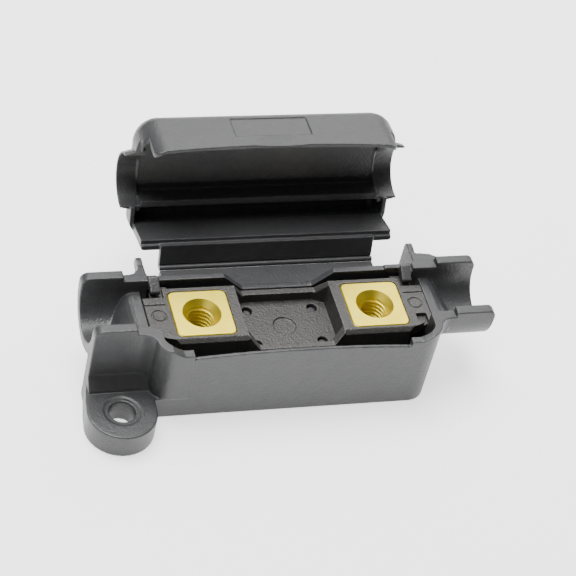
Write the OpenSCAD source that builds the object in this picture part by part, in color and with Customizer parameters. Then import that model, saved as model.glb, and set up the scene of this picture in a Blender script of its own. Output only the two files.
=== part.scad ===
// Single-way bolt-down strip fuse holder, shown with its hinged cover open.
// X runs along the cables, Y from front to back and Z up. The origin is on the base,
// midway between the two terminal centres. All lengths are in millimetres.

/* [Terminals] */
// Distance between the two terminal centres
pitch = 30; // [29.5:0.1:30.5]
// Side of each square brass insert
insert_side = 10; // [9:0.25:10.5]
// Height of each brass insert
insert_h = 8; // [6.5:0.25:8.5]
// Radius of the thread crests of an M5 insert
thread_r = 2.1; // [2:0.05:2.3]
// Height of the terminal faces above the base
deck_z = 13.4; // [13.2:0.1:13.6]

/* [Housing] */
// Half the length of the box
box_x = 24.4; // [24.2:0.1:24.6]
// Distance of the front wall from the terminal line
box_front = 10.3; // [10.2:0.1:10.6]
// Distance of the back wall from the terminal line
box_back = 8.1; // [8.05:0.05:8.2]
// Outer radius of the two front corners
corner_r = 3.4; // [3.3:0.1:3.6]
// Thickness of the moulded walls
wall = 1.3; // [1.2:0.05:1.35]
// Height at which the box and the cover meet
parting_z = 16.6; // [16.5:0.1:16.8]

/* [Cable channels] */
// Distance of each channel's mouth from the middle
channel_x = 34.3; // [33:0.1:36]
// Inner radius of the half-round trough
channel_r = 5; // [4.9:0.05:5.05]
// Height of the trough's centre line
channel_z = 14.4; // [14.3:0.1:14.6]
// Distance of the trough's centre line behind the terminal line
channel_y = 0.6; // [0.5:0.05:0.7]

/* [Screw ear] */
// Distance of the ear's hole from the middle, along the box
ear_x = 29.5; // [29.4:0.1:30.5]
// Distance of the ear's hole in front of the terminal line
ear_y = 12.2; // [12:0.1:13]
// Outer radius of the ear
ear_r = 5.8; // [5:0.1:5.9]
// Radius of the screw hole
ear_hole_r = 2.15; // [1.6:0.05:2.6]
// Thickness of the ear
ear_h = 4.4; // [4:0.1:5]

/* [Cover] */
// Angle by which the cover stands open
open_angle = 105; // [0:5:150]
// Distance of the hinge line behind the terminal line
hinge_y = 13.6; // [13.5:0.1:14]
// Height of the hinge line
hinge_z = 10.3; // [10.2:0.1:10.4]
// Half the length of the hinge
hinge_x = 18.9; // [15:0.1:19.5]
// Height of the cover's roof when it is closed
roof_z = 22.5; // [22:0.1:23]
// Half the length of the cover
cover_x = 22.9; // [22.8:0.05:23]

/* [Hidden] */
$fn = 48;

big = 60;                 // longer than any cut has to be
eps = 0.02;               // overlap that joins two shapes of one solid
plastic = "#2b2b2d";
carrier_plastic = "#353531";
brass = "#e3cf86";

// Housing
floor_t = 1.8;
inner_x = box_x - wall;
inner_front = box_front - wall;
inner_back = 7;
inner_r = corner_r - wall;
back_r = 1;
wall_top = parting_z - 1; // the walls of the box stop below the parting line
step_x = 27.3;            // the channels' walls are full height from here on
block_proud = 0.3;
block_x = 18.4;
front_half = 18.55;       // half the length of the low front wall
front_z = 13.6;           // top of the low front wall at its ends
front_arch = 0.8;         // how much higher it is in the middle
back_z = 14.2;            // top of the back wall beside each terminal
back_mid_z = 11.15;       // top of the back wall in the middle
flange_z = hinge_z - 0.15;
flange_t = 1.3;
flange_end = hinge_y - 0.35;
seat_y = 10.5;            // the cover's rear skirt stands on the shelf up to here
film_r = 0.45;
film_gap = 0.06;          // running clearance between the film and the cover
fin_in = 23.2;            // inner face of the left rear fin
fin_t = 1;
fin_shift = 0.4;          // how much farther out the right one stands
fin_y = 12.3;
fin_tip = 1.1;
left_fin_y = 11.7;
left_fin_heel = 10.3;     // the left fin leans back from here
fin_z = 15.6;
fin_front = 4.9;
tab_x = 21.1;
tab_y = 4.4;
tab_out = 22.8;
tab_z = 13.5;             // underside of the tabs that hold the carrier down
peg_r = 0.75;

// Channels
channel_wall = 1.8;
rim_r = 1.4;
ramp_x = 29.8;
ledge = 1.9;              // slope between the plinth of the ear and the channel's wall

// Carrier
pad_in = 8.2;             // inner edge of the terminal pads
pad_out = 20.6;
pad_front = 5.45;         // front edge of the pads' top faces
pad_face = 6.1;           // their front faces, below a chamfer
pad_chamfer = 0.6;
pad_back = 5.8;
tongue_x = 24.25;
tongue_back = 3.8;
tongue_t = 2.1;
well_z = 9.2;             // floor of the well between the pads
well_t = 1.5;
rim_x = 6.4;              // half the length of the well's straight rims
rim_front = 7.26;
rim_front_z = 11.65;
rim_back = 6.8;
rim_back_z = 11.0;
rim_t = 1.1;
peg_x = 5.7;
peg_y = 3.75;
shoulder_drop = 0.5;      // step in the carrier's back corners, under the tabs

// Inserts
insert_r = 1;
sink_r = 3.25;            // countersink at the mouth of the thread
sink_h = 1.2;
band_h = 1.4;             // retention groove around the insert
band_d = 0.5;
band_z = deck_z - 5.6;
fit_gap = 0.02;

// Cover, described in its closed position
cover_front = 9.67;       // front face just below the roof's edge
cover_back = 10.4;
skirt_front = 7.9;        // front face at the free edge
skirt_z = 11;              // free edge at its ends
skirt_half = 21.2;
skirt_arch = 1.05;        // how much higher the edge is in the middle
skirt_round = 1.2;
notch_z = 15.9;           // top of the notch between the skirt and the half tube
notch_back = 5.35;
roof_r = 3.2;
cover_corner_r = 4.2;
cover_back_r = 1.5;
cover_wall = 1.2;
end_wall = 0.8;
edge_wall = 0.7;          // thickness of the front skirt at its free edge
inner_roof_r = 1.4;
mate_z = parting_z + 0.25;
rear_half = 22.2;
rear_in = 8.7;
rear_z = 10.8;
lip_y = 9.5;
lip_h = 0.5;
leaf_z = hinge_z + 0.15;
leaf_t = 1.1;
leaf_end = hinge_y + 0.3;
tube_x = 24.7;
tube_root = cover_x - end_wall - 0.9; // inside the roof's rounded edge, so that no gap is left
tube_r = 4.85;
tube_wall = 1.1;          // where the half tube leaves the end wall
tube_lip = 0.3;           // and at its tip
tube_back_z = 17.35;      // underside of its rear half
rib_y = 4.6;
rib_z = 17.3;
label_half = 6.7;         // shallow panel on the front skirt
label_z = 14.6;
label_h = 4.6;
label_d = 0.2;
dent_r = 5.9;             // thumb dent at the free edge: a shallow piece of a sphere
dent_depth = 0.4;
dent_x = 0.6;
dent_z = 9;

// Outline of a box with round corners: the front radius is rf, the back one rb
module plan(x, front, back, rf, rb) {
    polygon([
        [-x + rf, -front], [x - rf, -front], [x, -front + rf], [x, back - rb],
        [x - rb, back], [-x + rb, back], [-x, back - rb], [-x, -front + rf]
    ]);
    for (s = [-1, 1]) {
        translate([s * (x - rf), -front + rf]) circle(rf);
        translate([s * (x - rb), back - rb]) circle(rb);
    }
}

// Stands a Y-Z outline up and runs it along X from x0 to x1
module along_x(x0, x1) {
    translate([x0, 0, 0]) rotate([90, 0, 90]) linear_extrude(x1 - x0) children();
}

// Stands an X-Z outline up and runs it along Y from y0 to y1
module along_y(y0, y1) {
    translate([0, y1, 0]) rotate([90, 0, 0]) linear_extrude(y1 - y0) children();
}

// Copies its children to the left and right ends
module both_ends() {
    children();
    mirror([1, 0, 0]) children();
}

// Half-round trough with straight sides above its centre line
module trough(r, top) {
    translate([channel_y, channel_z]) circle(r);
    translate([channel_y - r, channel_z]) square([2 * r, top - channel_z]);
}

// Bow that a low wall or a free edge has along X: a very flat circle
module bow(half, z, rise) {
    r = (half * half + rise * rise) / (2 * rise);
    difference() {
        translate([-half, z]) square([2 * half, big]);
        translate([0, z + rise - r]) circle(r, $fn = 720);
    }
}

// ---- Housing ----------------------------------------------------------------

// The box, and the block over the ear that stands a little proud of its front wall
module box_outer() {
    linear_extrude(wall_top) plan(box_x, box_front, box_back, corner_r, back_r);
    translate([0, 0, ear_h]) linear_extrude(wall_top - ear_h) intersection() {
        plan(box_x, box_front + block_proud, box_back, corner_r, back_r);
        translate([-big, -big]) square([big - block_x, big - box_front + corner_r]);
    }
}

module box_inner() {
    translate([0, 0, floor_t])
        linear_extrude(big) plan(inner_x, inner_front, inner_back, inner_r, 0.5);
}

// The front wall is low and bowed, and the back wall dips between the terminals
module wall_top_cuts() {
    along_y(-big, -6) bow(front_half, front_z, front_arch);
    both_ends() along_y(-big, -7) polygon([
        [front_half - 1, 14.6], [20.2, 14.6], [21.2, 15.1], [22.2, wall_top],
        [22.2, big], [front_half - 1, big]
    ]);
    along_x(-front_half, front_half) polygon([
        [-inner_front + 0.1, 10], [-inner_front - 0.65, front_z - 0.4],
        [-inner_front - 0.65, big], [0, big], [0, 10]
    ]);
    along_y(inner_back - 1, big) polygon([
        [-fin_in, back_z], [-pad_in - 1.4, back_z], [-rim_x + 0.3, back_mid_z],
        [rim_x - 0.3, back_mid_z], [pad_in + 1.4, back_z], [fin_in + fin_shift, back_z],
        [fin_in + fin_shift, big], [-fin_in, big]
    ]);
}

// Shelf for the cover's rear skirt, and the hinge flange behind it
module hinge_flange() {
    translate([-box_x, box_back - 1, flange_z - flange_t])
        cube([2 * box_x, seat_y - box_back + 1, flange_t]);
    translate([-hinge_x, box_back - 1, flange_z - flange_t])
        cube([2 * hinge_x, flange_end - box_back + 1, flange_t]);
}

// Upright fin beside one end of the hinge, with a rounded top: its back is at y0 above, y1 below
module fin(x0, y0, y1) {
    along_x(x0, x0 + fin_t) {
        polygon([
            [fin_front, floor_t], [fin_front, fin_z - 1], [fin_front + 0.4, fin_z - 0.8],
            [y0 - fin_tip, fin_z], [y0, fin_z - fin_tip], [y1, fin_z - 1.9], [y1, flange_z],
            [box_back, 4]
        ]);
        translate([y0 - fin_tip, fin_z - fin_tip]) circle(fin_tip);
    }
}

// Web between a fin and its channel: a small curve at the left, a fuller block at the right
module fin_webs() {
    curve = 1.8;
    translate([0, 0, flange_z - flange_t]) linear_extrude(wall_top - flange_z + flange_t) {
        mirror([1, 0, 0]) difference() {
            translate([fin_in, 5]) square([26.1 - fin_in, 4.2]);
            translate([26.1, 9.2]) circle(curve);
        }
        polygon([[fin_in + fin_shift, 5], [fin_in + fin_shift, 9.4], [24.8, 9.35], [26.95, 9],
            [28.1, 8.3], [28.4, 7.4], [28.4, 5]]);
    }
}

// Hook that holds the carrier's shoulder down: its top slopes down to the front
module tab() {
    along_x(tab_x, tab_out) polygon([
        [tab_y, tab_z], [inner_back + eps, tab_z], [inner_back + eps, 15.3],
        [inner_back - 0.3, 15.3], [tab_y, 14.1]
    ]);
}

// Raised piece of the back wall behind a tab, from x0 to x1
module tab_root(x0, x1) {
    translate([x0, inner_back - eps, back_z - 1]) cube([x1 - x0, box_back - inner_back - 0.1, 1.35]);
}

// Curve that leads from a front corner into the channel's wall
module corner_web(z0) {
    web_y = channel_y - channel_r - channel_wall;
    concave = 2.2;
    translate([0, 0, z0]) linear_extrude(wall_top - z0) difference() {
        translate([box_x - 1, web_y - 1.6]) square([3, 1.85]);
        translate([box_x + 2, web_y - concave]) circle(concave);
    }
}

// Outside of one channel, with round corners at its mouth
module channel_outer() {
    intersection() {
        along_x(inner_x, channel_x) trough(channel_r + channel_wall, parting_z);
        along_y(-box_front, box_front) union() {
            square([channel_x - rim_r, parting_z]);
            square([channel_x, parting_z - rim_r]);
            translate([channel_x - rim_r, parting_z - rim_r]) circle(rim_r);
        }
    }
}

// Saddle that leads from the trough up to the carrier's face
module ramp() {
    intersection() {
        along_x(inner_x - eps, ramp_x) trough(channel_r + eps, big);
        along_y(-box_front, box_front) polygon([
            [inner_x - eps, 8], [inner_x - eps, deck_z - tongue_t], [tongue_x + 0.1, deck_z - tongue_t],
            [tongue_x + 0.1, deck_z - 0.1], [25.8, deck_z - 0.15], [26.5, deck_z - 0.4], [27.1, deck_z - 0.9],
            [28.9, channel_z - channel_r + 0.6], [ramp_x, channel_z - channel_r - 0.1], [ramp_x, 8]
        ]);
    }
}

// Plinth and web that carry the ear, and the ear itself
module ear() {
    web_y = channel_y - channel_r - channel_wall;
    translate([-ear_x, -ear_y, 0]) cylinder(r = ear_r, h = ear_h);
    linear_extrude(ear_h) polygon([
        [-ear_x - ear_r, -ear_y], [-ear_x + ear_r, -ear_y], [-ear_x + ear_r, -4], [-channel_x, -4],
        [-channel_x - 0.1, web_y], [-ear_x - ear_r + 0.3, -ear_y + 3]
    ]);
    translate([-ear_x, -box_front, 0]) cube([ear_x - 18.3, box_front - 4, ear_h]);
    translate([-channel_x, web_y, 0]) cube([channel_x - inner_x, channel_wall + 0.5, channel_z]);
    along_x(-channel_x, -inner_x - 0.9) polygon([
        [web_y + 0.5, ear_h - eps], [web_y - ledge, ear_h - eps], [web_y - ledge, ear_h + 0.3],
        [web_y, ear_h + 0.3 + ledge], [web_y + 0.5, ear_h + 0.3 + ledge]
    ]);
}

module housing() {
    color(plastic) difference() {
        union() {
            difference() {
                union() {
                    difference() {
                        box_outer();
                        wall_top_cuts();
                    }
                    hinge_flange();
                    mirror([1, 0, 0]) fin(fin_in, left_fin_y, left_fin_heel);
                    fin(fin_in + fin_shift, fin_y, fin_y);
                    both_ends() channel_outer();
                    fin_webs();
                    corner_web(channel_z - 2.5);
                    mirror([1, 0, 0]) corner_web(0);
                    ear();
                }
                box_inner();
                both_ends() {
                    along_x(inner_x - 1, big) trough(channel_r, big);
                    translate([0, -big, wall_top]) cube([step_x, 2 * big, big]);
                }
            }
            both_ends() {
                ramp();
                tab();
            }
            tab_root(-fin_in - eps, -21.1);
            tab_root(18.6, fin_in + fin_shift + eps);
            for (x = [-peg_x, peg_x], y = [-peg_y, peg_y])
                translate([x, y, floor_t - 0.5]) cylinder(r = peg_r, h = well_z - floor_t);
        }
        translate([-ear_x, -ear_y, -1]) cylinder(r = ear_hole_r, h = big);
        translate([-ear_x, -ear_y, ear_h - 0.15]) cylinder(r = 3.1, h = 0.6);
        // room for the carrier's tongues
        both_ends() translate([inner_x - 0.1, -4.8, deck_z - tongue_t])
            cube([tongue_x - inner_x + 0.15, 4.8 + tongue_back + 0.05, 10]);
        translate([-hinge_x - 1, hinge_y, hinge_z]) rotate([0, 90, 0])
            cylinder(r = film_r + fit_gap, h = 2 * hinge_x + 2);
    }
}

// ---- Hinge film -------------------------------------------------------------

module hinge_film() {
    color(plastic) translate([-hinge_x, hinge_y, hinge_z]) rotate([0, 90, 0])
        cylinder(r = film_r, h = 2 * hinge_x);
}

// ---- Inserts ----------------------------------------------------------------

// Outside of an insert, grown by g where the carrier is moulded around it
module insert_body(g) {
    side = insert_side / 2 + g;
    difference() {
        translate([0, 0, deck_z - insert_h - g]) linear_extrude(insert_h + 2 * g)
            plan(side, side, side, insert_r, insert_r);
        difference() {
            translate([-insert_side, -insert_side, band_z + g])
                cube([2 * insert_side, 2 * insert_side, band_h - 2 * g]);
            translate([0, 0, band_z - 1]) linear_extrude(band_h + 2)
                plan(side - band_d, side - band_d, side - band_d, insert_r, insert_r);
        }
    }
}

module insert(side) {
    color(brass) translate([side * pitch / 2, 0, 0]) difference() {
        insert_body(0);
        translate([0, 0, deck_z - insert_h - 1]) cylinder(r = thread_r, h = big);
        translate([0, 0, deck_z - sink_h]) cylinder(r1 = thread_r, r2 = sink_r, h = sink_h);
    }
}

module left_insert() {
    insert(-1);
}

module right_insert() {
    insert(1);
}

// ---- Carrier ----------------------------------------------------------------

// One terminal pad with the tongue that reaches into its channel
module pad() {
    difference() {
        along_x(pad_in - eps, pad_out) polygon([
            [-pad_face, floor_t], [pad_back, floor_t], [pad_back, deck_z], [-pad_front, deck_z],
            [-pad_face, deck_z - pad_chamfer]
        ]);
        linear_extrude(big)
            polygon([[19.8, -pad_face], [big, -pad_face], [big, -pad_front], [20.6, -pad_front]]);
    }
    translate([0, 0, deck_z - tongue_t]) linear_extrude(tongue_t)
        polygon([[pad_out - 1, -pad_front], [20.8, -pad_front], [21.8, -5.2], [tongue_x, -3.9],
            [tongue_x, tongue_back], [pad_out - 1, tongue_back]]);
    translate([pad_out - 1, 0, deck_z - tongue_t])
        cube([tab_out - pad_out + 1, inner_back - 0.3, tongue_t - shoulder_drop]);
}

// Well between the pads, whose rims slope up to them
module well() {
    outline = [[-pad_in, -pad_face], [-rim_x, -rim_front], [rim_x, -rim_front], [pad_in, -pad_face],
        [pad_in, pad_back], [rim_x, rim_back], [-rim_x, rim_back], [-pad_in, pad_back]];
    inside = [[-pad_in - 1, -pad_front + rim_t], [-pad_in, -pad_front + rim_t],
        [-rim_x + 0.5, -rim_front + rim_t], [rim_x - 0.5, -rim_front + rim_t],
        [pad_in, -pad_front + rim_t], [pad_in + 1, pad_back - rim_t],
        [pad_in, pad_back - rim_t], [rim_x - 0.5, rim_back - rim_t], [-rim_x + 0.5, rim_back - rim_t],
        [-pad_in, pad_back - rim_t], [-pad_in - 1, pad_back - rim_t]];
    difference() {
        translate([0, 0, well_z - well_t]) linear_extrude(deck_z - well_z + well_t) polygon(outline);
        translate([0, 0, well_z]) linear_extrude(big) polygon(inside);
        along_y(-big, 0) polygon([[-pad_in, deck_z], [-rim_x, rim_front_z], [rim_x, rim_front_z],
            [pad_in, deck_z], [pad_in, big], [-pad_in, big]]);
        along_y(0, big) polygon([[-pad_in, deck_z], [-rim_x, rim_back_z], [rim_x, rim_back_z],
            [pad_in, deck_z], [pad_in, big], [-pad_in, big]]);
    }
}

module terminal_carrier() {
    color(carrier_plastic) difference() {
        union() {
            both_ends() pad();
            well();
        }
        both_ends() {
            translate([pitch / 2, 0, 0]) {
                insert_body(fit_gap);
                translate([0, 0, floor_t + 1]) cylinder(r = 2.8, h = deck_z - insert_h - floor_t);
            }
            // moulded ring, and the score line beside the tab
            translate([22.2, -0.2, deck_z - 0.25]) difference() {
                cylinder(r = 1.3, h = 1);
                translate([0, 0, -1]) cylinder(r = 1, h = 3);
            }
            translate([pad_out, 2.1, deck_z - 0.3]) cube([big, 0.25, 1]);
        }
        translate([21.5, -pad_front + 0.7, deck_z - 0.8]) cube([1.9, 2.1, 2]);
        for (x = [-peg_x, peg_x], y = [-peg_y, peg_y])
            translate([x, y, 0]) cylinder(r = peg_r + 0.15, h = big);
        translate([0, 0, well_z - 0.3]) cylinder(r = 2, h = 1);
    }
}

// ---- Cover ------------------------------------------------------------------

// Closed shape of the cover: g insets its roof and front, e its ends and f its free edge
module cover_form(g, e, f, edge_r, bottom) {
    steps = 6;
    hull() {
        translate([0, 0, bottom]) linear_extrude(eps)
            plan(cover_x - e, skirt_front - f, cover_back - g, cover_corner_r - e,
                cover_back_r - min(g, 1));
        for (i = [0 : steps]) {
            a = 90 * i / steps;
            inset = edge_r * (1 - cos(a));
            translate([0, 0, roof_z - g - edge_r + edge_r * sin(a) - eps]) linear_extrude(eps)
                plan(cover_x - e - inset, cover_front - g - inset, cover_back - g - inset,
                    max(cover_corner_r - e - inset, 0.4), max(cover_corner_r - e - inset - 2, 0.4));
        }
    }
}

// What is cut away below the meeting plane: the two ends, and the bow of the free edge
module cover_lower_cuts() {
    both_ends() {
        translate([skirt_half, -big, -1]) cube([big, big - notch_back, notch_z + 1]);
        translate([skirt_half, -notch_back - eps, -1])
            cube([big, notch_back + rear_in - 0.9, mate_z + 1]);
        translate([rear_half, -big, -1]) cube([big, 2 * big, mate_z + 1]);
        translate([cover_x - cover_wall - 1, -1, -1]) cube([big, 1 + rear_in - 0.1, mate_z + 1]);
        along_y(-big, 0) difference() {
            translate([skirt_half - skirt_round, -1]) square([big, skirt_z + 1 + 1.35]);
            translate([skirt_half - skirt_round, skirt_z + 1.35]) circle(skirt_round);
        }
    }
    translate([-big, rear_in - 1.5, -1]) cube([2 * big, lip_y - rear_in + 1.5, rear_z + lip_h + 1]);
    translate([-big, lip_y - eps, -1]) cube([2 * big, big, rear_z + 1]);
    along_y(-big, 0) difference() {
        translate([-skirt_half, -1]) square([2 * skirt_half, skirt_z + skirt_arch + 1]);
        bow(skirt_half, skirt_z, skirt_arch);
    }
}

// Half tube that leads a cable out of one end
module half_tube() {
    intersection() {
        translate([tube_root, channel_y, mate_z]) rotate([0, 90, 0])
            cylinder(r1 = tube_r + tube_wall, r2 = tube_r + tube_lip, h = tube_x - tube_root);
        union() {
            translate([0, channel_y - big, mate_z]) cube([big, big, big]);
            translate([0, channel_y - eps, tube_back_z]) cube([big, big, big]);
        }
    }
}

// Puts its children on the sloping front skirt: X along it, Z up it and Y into it
module on_skirt() {
    slope = atan((cover_front - skirt_front) / (roof_z - roof_r - rear_z));
    translate([0, -skirt_front, rear_z]) rotate([slope, 0, 0]) translate([0, 0, -rear_z]) children();
}

module cover_closed() {
    ball = (dent_r * dent_r + dent_depth * dent_depth) / (2 * dent_depth);
    difference() {
        union() {
            difference() {
                cover_form(0, 0, 0, roof_r, rear_z);
                cover_form(cover_wall, end_wall, edge_wall, inner_roof_r, rear_z - 1);
                cover_lower_cuts();
            }
            // rear skirt's thicker lip, the long rib, and the leaf that reaches to the hinge
            translate([-rear_half, rear_in, rear_z + lip_h])
                cube([2 * rear_half, cover_back - rear_in - 0.3, 6]);
            translate([-cover_x + 0.6, rib_y, rib_z])
                cube([2 * cover_x - 1.2, cover_wall, roof_z - rib_z - 0.6]);
            translate([-hinge_x, cover_back - 1, leaf_z])
                cube([2 * hinge_x, leaf_end - cover_back + 1, leaf_t]);
            both_ends() half_tube();
        }
        both_ends() along_x(tube_root - eps, big) translate([channel_y, mate_z]) circle(tube_r);
        on_skirt() {
            translate([-label_half, -1, label_z]) cube([2 * label_half, 1 + label_d, label_h]);
            translate([dent_x, dent_depth - ball, dent_z]) sphere(ball, $fn = 180);
        }
        translate([-big, hinge_y, hinge_z]) rotate([0, 90, 0])
            cylinder(r = film_r + film_gap, h = 2 * big);
    }
}

module cover() {
    color(plastic) translate([0, hinge_y, hinge_z]) rotate([-open_angle, 0, 0])
        translate([0, -hinge_y, -hinge_z]) cover_closed();
}

housing();
terminal_carrier();
left_insert();
right_insert();
hinge_film();
cover();
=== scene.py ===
"""Looks of a bolt-down strip fuse holder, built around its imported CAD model.

The moulded parts are fine meshes of the CAD nodes with softened edges, the hinge film is the CAD
node itself, and the two brass inserts are meshes with a real helical thread. All lengths are in
metres, in the CAD's own frame.
"""

import math

import bmesh
import bpy
from mathutils import Matrix, Vector


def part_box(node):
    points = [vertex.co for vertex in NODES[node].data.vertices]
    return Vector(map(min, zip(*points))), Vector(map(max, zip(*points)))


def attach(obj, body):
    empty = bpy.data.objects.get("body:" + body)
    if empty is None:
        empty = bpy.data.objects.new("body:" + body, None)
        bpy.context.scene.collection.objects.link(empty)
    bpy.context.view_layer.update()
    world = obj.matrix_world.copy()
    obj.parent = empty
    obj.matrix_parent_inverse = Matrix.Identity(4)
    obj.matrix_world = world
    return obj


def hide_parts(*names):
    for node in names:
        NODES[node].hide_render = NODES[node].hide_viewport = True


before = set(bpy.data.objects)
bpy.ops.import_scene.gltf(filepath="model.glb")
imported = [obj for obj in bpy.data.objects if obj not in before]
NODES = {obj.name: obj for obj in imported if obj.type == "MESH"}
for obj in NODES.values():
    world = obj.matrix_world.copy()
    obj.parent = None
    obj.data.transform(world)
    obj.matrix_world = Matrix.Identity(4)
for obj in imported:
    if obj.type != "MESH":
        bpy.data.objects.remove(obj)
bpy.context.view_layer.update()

MM = 0.001


def added(name, data):
    """A new object of that data, in the scene."""
    piece = bpy.data.objects.new(name, data)
    bpy.context.scene.collection.objects.link(piece)
    return piece


# ---- Materials ---------------------------------------------------------------

NOISE_LOW, NOISE_HIGH = 0.3, 0.7      # levels of a noise texture that spread() works between
FLAT, BENT = 0.99, 0.88               # cosine of the bend that starts an edge, and of a full one


class Graph:
    """A material's node tree, with short calls to add and join nodes."""

    def __init__(self, name):
        self.material = bpy.data.materials.new(name)
        self.material.use_nodes = True
        self.nodes = self.material.node_tree.nodes
        self.links = self.material.node_tree.links
        self.shader = self.nodes["Principled BSDF"]
        self.place = self.nodes.new("ShaderNodeTexCoord").outputs["Object"]

    def join(self, source, socket):
        self.links.new(source, socket)

    def texture(self, kind, scale):
        """A texture node over the object's own coordinates, each multiplied by its scale."""
        mapping = self.nodes.new("ShaderNodeMapping")
        mapping.inputs["Scale"].default_value = scale
        self.join(self.place, mapping.inputs["Vector"])
        texture = self.nodes.new(kind)
        texture.inputs["Scale"].default_value = 1
        self.join(mapping.outputs["Vector"], texture.inputs["Vector"])
        return texture

    def noise(self, size, detail=3.0, rough=0.55, stretch=(1, 1, 1)):
        """Noise whose blobs are about size metres across, and longer where stretch is under 1."""
        noise = self.texture("ShaderNodeTexNoise", [s / size for s in stretch])
        noise.inputs["Detail"].default_value = detail
        noise.inputs["Roughness"].default_value = rough
        return noise.outputs["Fac"]

    def cells(self, size):
        """Distance to the nearest point of a random lattice with cells of about size metres."""
        return self.texture("ShaderNodeTexVoronoi", [1 / size] * 3).outputs["Distance"]

    def remap(self, source, low, high, out_low, out_high):
        """source from low..high to out_low..out_high, clamped."""
        node = self.nodes.new("ShaderNodeMapRange")
        node.inputs["From Min"].default_value = low
        node.inputs["From Max"].default_value = high
        node.inputs["To Min"].default_value = out_low
        node.inputs["To Max"].default_value = out_high
        self.join(source, node.inputs["Value"])
        return node.outputs["Result"]

    def spread(self, noise, out_low, out_high):
        """Noise from its usual levels to out_low..out_high, clamped."""
        return self.remap(noise, NOISE_LOW, NOISE_HIGH, out_low, out_high)

    def math(self, operation, a, b):
        """The operation on a and b, each a number or a socket. A sum is kept within 0 and 1."""
        node = self.nodes.new("ShaderNodeMath")
        node.operation = operation
        node.use_clamp = operation == "ADD"
        for socket, value in zip(node.inputs, (a, b)):
            if isinstance(value, (int, float)):
                socket.default_value = value
            else:
                self.join(value, socket)
        return node.outputs["Value"]

    def blend(self, factor, a, b):
        """Colour a where factor is 0 and b where it is 1. Either may be a colour or a socket."""
        node = self.nodes.new("ShaderNodeMix")
        node.data_type = "RGBA"
        self.join(factor, node.inputs["Factor"])
        for socket, value in ((node.inputs["A"], a), (node.inputs["B"], b)):
            if isinstance(value, tuple):
                socket.default_value = (*value, 1)
            else:
                self.join(value, socket)
        return node.outputs["Result"]

    def bump(self, height, depth, normal=None):
        """Bump of about depth metres from a height of 0 to 1, over an earlier normal."""
        node = self.nodes.new("ShaderNodeBump")
        node.inputs["Strength"].default_value = 1
        node.inputs["Distance"].default_value = depth
        self.join(height, node.inputs["Height"])
        if normal is not None:
            self.join(normal, node.inputs["Normal"])
        return node.outputs["Normal"]

    def edges(self, radius):
        """1 on edges and 0 on flats, from how far a bevel of that radius turns the surface."""
        bevel = self.nodes.new("ShaderNodeBevel")
        bevel.samples = 6
        bevel.inputs["Radius"].default_value = radius
        flat = self.nodes.new("ShaderNodeNewGeometry").outputs["Normal"]
        dot = self.nodes.new("ShaderNodeVectorMath")
        dot.operation = "DOT_PRODUCT"
        self.join(bevel.outputs["Normal"], dot.inputs[0])
        self.join(flat, dot.inputs[1])
        return self.remap(dot.outputs["Value"], FLAT, BENT, 0, 1)


FLOW_SIZE = 9 * MM                    # slow marks of the plastic's flow, twice as long along X
FLOW_HEIGHT = 0.05 * MM
MOTTLE_SIZE = 1.6 * MM
SCUFF_SIZE = 3.5 * MM
SCUFF_START, SCUFF_FULL = 0.6, 0.75   # noise level where a scuff begins, and where it is complete
SCUFF_SHOWS = 0.08                    # how much of the lighter wear-and-highlight colour a scuff takes
EDGE_HIGHLIGHT_WIDTH = 0.3 * MM                  # how far the painted edge highlight reaches in from an edge
EDGE_HIGHLIGHT_SHOWS = 0.6                       # how much of the lighter colour an edge takes as a painted highlight
EDGE_POLISH = 0.08                     # how much less rough the edges are
WEAR_AND_HIGHLIGHT_GAIN, WEAR_AND_HIGHLIGHT_LIFT = 2.6, 0.02      # the lighter colour of the scuffs and of the painted edge highlight, from the light one
DULLER, SHINIER = 0.06, 0.05          # how far the roughness varies up and down
GRAIN_RISE = 1.4                      # height of the soft grain over the depth of the pits


def moulded_plastic(name, dark, light, roughness, grain, grain_depth):
    """Moulded plastic: eroded grain, slow flow marks, faint scuffs, and a painted highlight on its
    edges.
    """
    g = Graph(name)
    flow = g.noise(FLOW_SIZE, detail=2, stretch=(0.5, 1, 1))
    mottle = g.noise(MOTTLE_SIZE, detail=4)
    streaks = g.noise(SCUFF_SIZE, detail=6, rough=0.7, stretch=(0.35, 1, 1))
    scuffs = g.remap(streaks, SCUFF_START, SCUFF_FULL, 0, 1)
    # the edges get a painted highlight: a lighter colour, and a little less roughness
    painted_edge_highlight = g.edges(EDGE_HIGHLIGHT_WIDTH)
    tone = g.math("ADD", g.spread(flow, 0, 0.5), g.spread(mottle, 0, 0.5))
    body = g.blend(tone, dark, light)
    # the lighter colour serves the real scuffs and the painted edge highlight
    wear_and_highlight = tuple(WEAR_AND_HIGHLIGHT_GAIN * c + WEAR_AND_HIGHLIGHT_LIFT for c in light)
    marks = g.math("ADD", g.math("MULTIPLY", scuffs, SCUFF_SHOWS),
                   g.math("MULTIPLY", painted_edge_highlight, EDGE_HIGHLIGHT_SHOWS))
    g.join(g.blend(marks, body, wear_and_highlight), g.shader.inputs["Base Color"])
    varied = g.spread(flow, roughness - SHINIER, roughness + DULLER)
    g.join(g.math("SUBTRACT", varied, g.math("MULTIPLY", painted_edge_highlight, EDGE_POLISH)),
           g.shader.inputs["Roughness"])
    pits = g.bump(g.cells(grain), grain_depth)
    grains = g.bump(g.noise(2 * grain, detail=3), GRAIN_RISE * grain_depth, pits)
    g.join(g.bump(flow, FLOW_HEIGHT, grains), g.shader.inputs["Normal"])
    g.shader.inputs["IOR"].default_value = 1.5
    return g.material


PATCH_SIZE = 2.5 * MM
SCRATCH_SIZE = 0.35 * MM              # across a scratch, which is about eight times as long
SCRATCH_DEPTH = 0.0015 * MM
RIPPLE_DEPTH = 0.003 * MM


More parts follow.
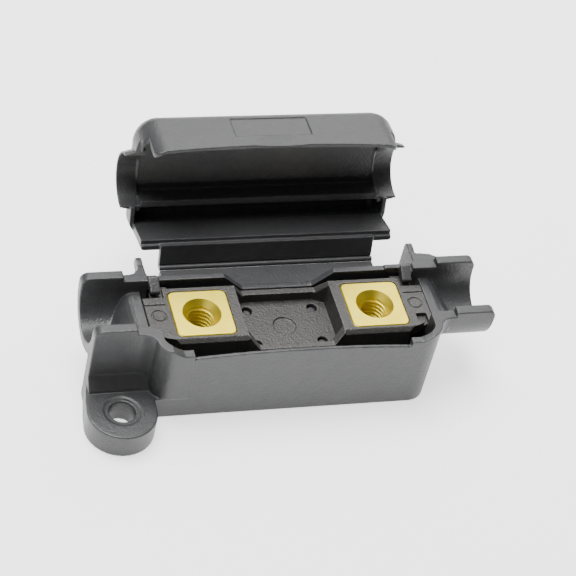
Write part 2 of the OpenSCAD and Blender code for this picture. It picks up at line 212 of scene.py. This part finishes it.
def machined_brass(name, dark, light, shiniest, dullest):
    """Brass with fine scratches, patches of two tones, and roughness from shiniest to dullest."""
    g = Graph(name)
    patches = g.noise(PATCH_SIZE, detail=4)
    scratches = g.noise(SCRATCH_SIZE, detail=5, rough=0.65, stretch=(0.12, 1, 1))
    tone = g.spread(patches, 0, 1)
    g.join(g.blend(tone, dark, light), g.shader.inputs["Base Color"])
    g.join(g.spread(scratches, shiniest, dullest), g.shader.inputs["Roughness"])
    lines = g.bump(scratches, SCRATCH_DEPTH)
    g.join(g.bump(g.noise(SCRATCH_SIZE, detail=3), RIPPLE_DEPTH, lines), g.shader.inputs["Normal"])
    g.shader.inputs["Metallic"].default_value = 1
    return g.material


FIBRE_SIZE = 0.6 * MM
FIBRE_DEPTH = 0.01 * MM


def backdrop(name, dark, light, glow):
    """Pale matt paper on a light table, which glows through it."""
    g = Graph(name)
    fibre = g.noise(FIBRE_SIZE, detail=4)
    g.join(g.blend(g.spread(fibre, 0, 1), dark, light), g.shader.inputs["Base Color"])
    g.join(g.bump(fibre, FIBRE_DEPTH), g.shader.inputs["Normal"])
    g.shader.inputs["Roughness"].default_value = 0.9
    g.shader.inputs["Emission Color"].default_value = (1, 1, 1, 1)
    g.shader.inputs["Emission Strength"].default_value = glow
    return g.material


HOUSING = moulded_plastic("housing_plastic",
                          dark=(0.032, 0.033, 0.034), light=(0.049, 0.049, 0.051),
                          roughness=0.38, grain=0.38 * MM, grain_depth=0.03 * MM)
CARRIER = moulded_plastic("carrier_plastic",
                          dark=(0.036, 0.035, 0.032), light=(0.056, 0.054, 0.049),
                          roughness=0.46, grain=0.36 * MM, grain_depth=0.06 * MM)
BRASS = machined_brass("brass", dark=(0.75, 0.59, 0.05), light=(0.82, 0.67, 0.08),
                       shiniest=0.38, dullest=0.47)
PAPER = backdrop("paper", dark=(0.86, 0.86, 0.86), light=(0.9, 0.9, 0.9), glow=1.5)


def repaint(node, material):
    """Give a CAD node that stays visible its material."""
    node.data.materials.clear()
    node.data.materials.append(material)


# ---- Moulded parts -----------------------------------------------------------

WELD_GAP = 0.002 * MM     # CAD faces that meet have their own vertices, which this joins
SMOOTHING = 0.5           # how far one pass moves a vertex towards its neighbours
PASSES = 4
KEPT_FACES = 0.15         # flat areas need few faces, so most can go


def softened(node, cell):
    """A closed mesh of a CAD node in cells of that size, with edges rounded by 1 to 2 cells."""
    work = added("work", node.data.copy())
    weld = work.modifiers.new("weld", "WELD")
    weld.merge_threshold = WELD_GAP
    remesh = work.modifiers.new("remesh", "REMESH")
    remesh.mode = "VOXEL"
    remesh.voxel_size = cell
    smooth = work.modifiers.new("smooth", "SMOOTH")
    smooth.factor = SMOOTHING
    smooth.iterations = PASSES
    thin = work.modifiers.new("thin", "DECIMATE")
    thin.ratio = KEPT_FACES
    shaped = work.evaluated_get(bpy.context.evaluated_depsgraph_get())
    data = bpy.data.meshes.new_from_object(shaped)
    bpy.data.objects.remove(work)
    return data


def moulded(name, node, body, cell, material):
    """A softened piece in the place of a CAD node."""
    data = softened(NODES[node], cell)
    data.name = name
    data.materials.clear()
    data.materials.append(material)
    data.shade_smooth()
    piece = added(name, data)
    piece.matrix_world = NODES[node].matrix_world.copy()
    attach(piece, body)
    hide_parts(node)


HOUSING_CELL = 0.13 * MM
CARRIER_CELL = 0.1 * MM
COVER_CELL = 0.11 * MM

moulded("housing_moulding", "housing", "base", HOUSING_CELL, HOUSING)
moulded("carrier_moulding", "terminal_carrier", "base", CARRIER_CELL, CARRIER)
moulded("cover_moulding", "cover", "cover", COVER_CELL, HOUSING)
repaint(NODES["hinge_film"], HOUSING)


# ---- Brass inserts -----------------------------------------------------------

PITCH = 0.8 * MM          # M5 coarse thread
ROOT_R = 2.5 * MM
CREST_R = 2.1 * MM
FLANK_GAIN = 1.5          # these two leave a sixth of the pitch flat at the crest,
FLANK_START = 0.25        # and another sixth at the root
SINK_R = 3.25 * MM        # countersink at the insert's top face
SINK_DEPTH = 1.2 * MM
CORNER_R = 1 * MM         # rounding of the insert's upright edges
EDGE = 0.18 * MM          # chamfer round the insert's top face
GROOVE_LOW = 2.4 * MM     # height above the insert's bottom of the groove round its sides
GROOVE_WIDTH = 1.4 * MM
GROOVE_DEPTH = 0.5 * MM
STEPS = 12                # rows of the mesh to one turn of the thread
MERGE_GAP = 0.0005 * MM   # closer vertices than this become one
SHARP = math.radians(32)  # edges that turn more than this stay crisp


def square_outline(half, radius, side_points=16, corner_points=8):
    """Points of a square with round corners, counter-clockwise from the low end of its +X side."""
    flat = half - radius
    points = []
    for k in range(4):
        turn = Matrix.Rotation(k * math.pi / 2, 2)
        for i in range(side_points):
            points.append(turn @ Vector((half, -flat + 2 * flat * i / side_points)))
        for i in range(corner_points):
            a = math.pi / 2 * i / corner_points
            points.append(turn @ Vector((flat + radius * math.cos(a), flat + radius * math.sin(a))))
    return points


def thread_radius(angle, z, top):
    """Radius of the threaded bore at an angle and height, opened out by the countersink."""
    phase = (z / PITCH - angle / (2 * math.pi)) % 1
    ramp = min(max(abs(2 * phase - 1) * FLANK_GAIN - FLANK_START, 0), 1)
    cone = CREST_R + (SINK_R - CREST_R) * (1 - (top - z) / SINK_DEPTH)
    return max(CREST_R + (ROOT_R - CREST_R) * ramp, cone)


def threaded_insert(name, node):
    """A square brass insert in the place of a CAD node, with a chamfered face and a cut thread."""
    low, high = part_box(node)
    centre = Vector(((low[0] + high[0]) / 2, (low[1] + high[1]) / 2))
    half, bottom, top = (high[0] - low[0]) / 2, low[2], high[2]
    outline = square_outline(half, CORNER_R)
    count = len(outline)
    # the outline starts at angle 0, where the ends of the bore's rows meet
    angles = [math.atan2(p.y, p.x) % (2 * math.pi) for p in outline]
    first = angles.index(min(angles))
    outline = outline[first:] + outline[:first]
    angles = angles[first:] + angles[:first]

    mesh = bmesh.new()

    def ring(scale, z):
        return [mesh.verts.new((*(centre + p * scale), z)) for p in outline]

    def skin(a, b):
        for i in range(count):
            j = (i + 1) % count
            mesh.faces.new((a[i], a[j], b[j], b[i]))

    inset = 1 - GROOVE_DEPTH / half
    low_lip = bottom + GROOVE_LOW
    high_lip = low_lip + GROOVE_WIDTH
    sides = [ring(1, bottom), ring(1, low_lip), ring(inset, low_lip), ring(inset, high_lip),
             ring(1, high_lip), ring(1, top - EDGE), ring(1 - EDGE / half, top)]
    for a, b in zip(sides, sides[1:]):
        skin(a, b)

    # the bore's rows climb with the thread, so that its crests are edge loops
    rows = int((top - bottom) / PITCH * STEPS) + 2 * STEPS + 1
    bore = []
    for k in range(rows):
        row = []
        for angle in angles:
            z = bottom + PITCH * ((k - STEPS) / STEPS + angle / (2 * math.pi))
            z = min(max(z, bottom), top)
            r = thread_radius(angle, z, top)
            x, y = centre.x + r * math.cos(angle), centre.y + r * math.sin(angle)
            row.append(mesh.verts.new((x, y, z)))
        bore.append(row)
    for k in range(rows - 1):
        for i in range(count - 1):
            mesh.faces.new((bore[k][i + 1], bore[k][i], bore[k + 1][i], bore[k + 1][i + 1]))
        a, b = min(k + STEPS, rows - 1), min(k + 1 + STEPS, rows - 1)
        corner = (bore[a][0], bore[k][-1], bore[k + 1][-1], bore[b][0])
        mesh.faces.new(corner if a != b else corner[:3])
    skin(sides[-1], bore[-1])
    skin(bore[0], sides[0])
    bmesh.ops.remove_doubles(mesh, verts=mesh.verts, dist=MERGE_GAP)
    bmesh.ops.dissolve_degenerate(mesh, edges=mesh.edges, dist=MERGE_GAP)
    bmesh.ops.recalc_face_normals(mesh, faces=mesh.faces)
    data = bpy.data.meshes.new(name)
    mesh.to_mesh(data)
    mesh.free()
    data.shade_smooth()
    data.set_sharp_from_angle(angle=SHARP)
    data.materials.append(BRASS)
    piece = added(name, data)
    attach(piece, "base")
    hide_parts(node)


threaded_insert("left_brass_insert", "left_insert")
threaded_insert("right_brass_insert", "right_insert")


# ---- Studio ------------------------------------------------------------------


def floor(half):
    """A square sheet on the ground that the object stands on, with sides of twice half."""
    corners = [(-half, -half, 0), (half, -half, 0), (half, half, 0), (-half, half, 0)]
    data = bpy.data.meshes.new("floor")
    data.from_pydata(corners, [], [(0, 1, 2, 3)])
    data.materials.append(PAPER)
    sheet = added("floor", data)


AIM = Vector((0, 0, 0.01))            # where the lights point, 10 mm above the object's origin


def soft_light(name, place, size, power):
    """A square area light at place that faces AIM."""
    data = bpy.data.lights.new(name, "AREA")
    data.shape = "SQUARE"
    data.size = size
    data.energy = power
    light = added(name, data)
    light.location = place
    light.rotation_euler = (AIM - Vector(place)).to_track_quat("-Z", "Y").to_euler()


DIM_AT, BRIGHT_AT = -0.5, 0.6         # cosine to the bright side where the change starts and ends


def surroundings(towards, dim, bright):
    """A studio that is bright on one side and dim on the other, as the plastic reflects it."""
    world = bpy.data.worlds.new("studio")
    bpy.context.scene.world = world
    world.use_nodes = True
    nodes, links = world.node_tree.nodes, world.node_tree.links
    dot = nodes.new("ShaderNodeVectorMath")
    dot.operation = "DOT_PRODUCT"
    dot.inputs[1].default_value = Vector(towards).normalized()
    links.new(nodes.new("ShaderNodeTexCoord").outputs["Generated"], dot.inputs[0])
    fall = nodes.new("ShaderNodeMapRange")
    fall.interpolation_type = "SMOOTHSTEP"
    fall.inputs["From Min"].default_value = DIM_AT
    fall.inputs["From Max"].default_value = BRIGHT_AT
    fall.inputs["To Min"].default_value = dim
    fall.inputs["To Max"].default_value = bright
    links.new(dot.outputs["Value"], fall.inputs["Value"])
    links.new(fall.outputs["Result"], nodes["Background"].inputs["Strength"])


def camera(azimuth, elevation, roll, lens, offset, origin):
    """Camera with those angles in degrees, which sees origin at offset in its own axes."""
    a, e, r = (math.radians(v) for v in (azimuth, elevation, roll))
    back = Vector((math.sin(a) * math.cos(e), -math.cos(a) * math.cos(e), math.sin(e)))
    right = Vector((math.cos(a), math.sin(a), 0))
    up = back.cross(right)
    turned_right = right * math.cos(r) - up * math.sin(r)
    turned_up = right * math.sin(r) + up * math.cos(r)
    axes = Matrix((turned_right, turned_up, back)).transposed()
    data = bpy.data.cameras.new("camera")
    data.sensor_width = 36
    data.lens = lens
    data.clip_start = 0.01
    data.clip_end = 10
    eye = added("camera", data)
    eye.matrix_world = Matrix.Translation(Vector(origin) - axes @ Vector(offset)) @ axes.to_4x4()
    bpy.context.scene.camera = eye


TERMINAL_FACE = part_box("left_insert")[1][2]
floor(half=1.5)
surroundings((0.38, 0.8, 0.45), dim=0.1, bright=6)
soft_light("key", (-0.1, 0.15, 0.65), size=0.45, power=9)
soft_light("fill", (-0.5, -0.35, 0.5), size=0.5, power=0.8)
soft_light("back", (0.25, 0.5, 0.42), size=0.5, power=2.8)
camera(azimuth=-24.77, elevation=43.85, roll=-14.90, lens=137.06,
       offset=(0.24 * MM, -3.34 * MM, -362.4 * MM), origin=(0, 0, TERMINAL_FACE))
